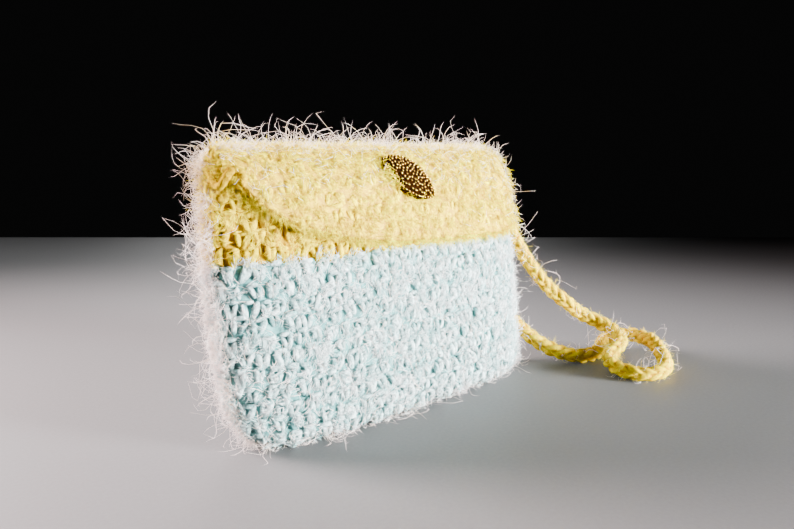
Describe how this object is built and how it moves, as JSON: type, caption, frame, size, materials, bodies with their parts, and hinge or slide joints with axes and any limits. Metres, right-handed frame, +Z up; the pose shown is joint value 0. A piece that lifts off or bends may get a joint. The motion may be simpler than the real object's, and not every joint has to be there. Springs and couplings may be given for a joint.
{
  "type": "crochet coin purse",
  "caption": "Small soft crochet purse with a folded flap, a beaded leaf ornament and a wrist strap of crochet chain sewn to one side.",
  "frame": {"origin": "middle of the flat base the purse stands on", "axes": "+X towards the seam that carries the strap, -Y out of the front panel, +Z up"},
  "size_m": [0.1798, 0.0743, 0.0845],
  "materials": {
    "aqua_crochet": "fuzzy yarn",
    "yellow_crochet": "fuzzy yarn",
    "yellow_chain": "crochet chain",
    "antique_gold": "antiqued"
  },
  "bodies": {
    "root": {"pouch_body": "aqua_crochet", "top_band": "yellow_crochet", "flap": "yellow_crochet", "beaded_ornament": "antique_gold", "wrist_strap": "yellow_chain"}
  },
  "joints": []
}
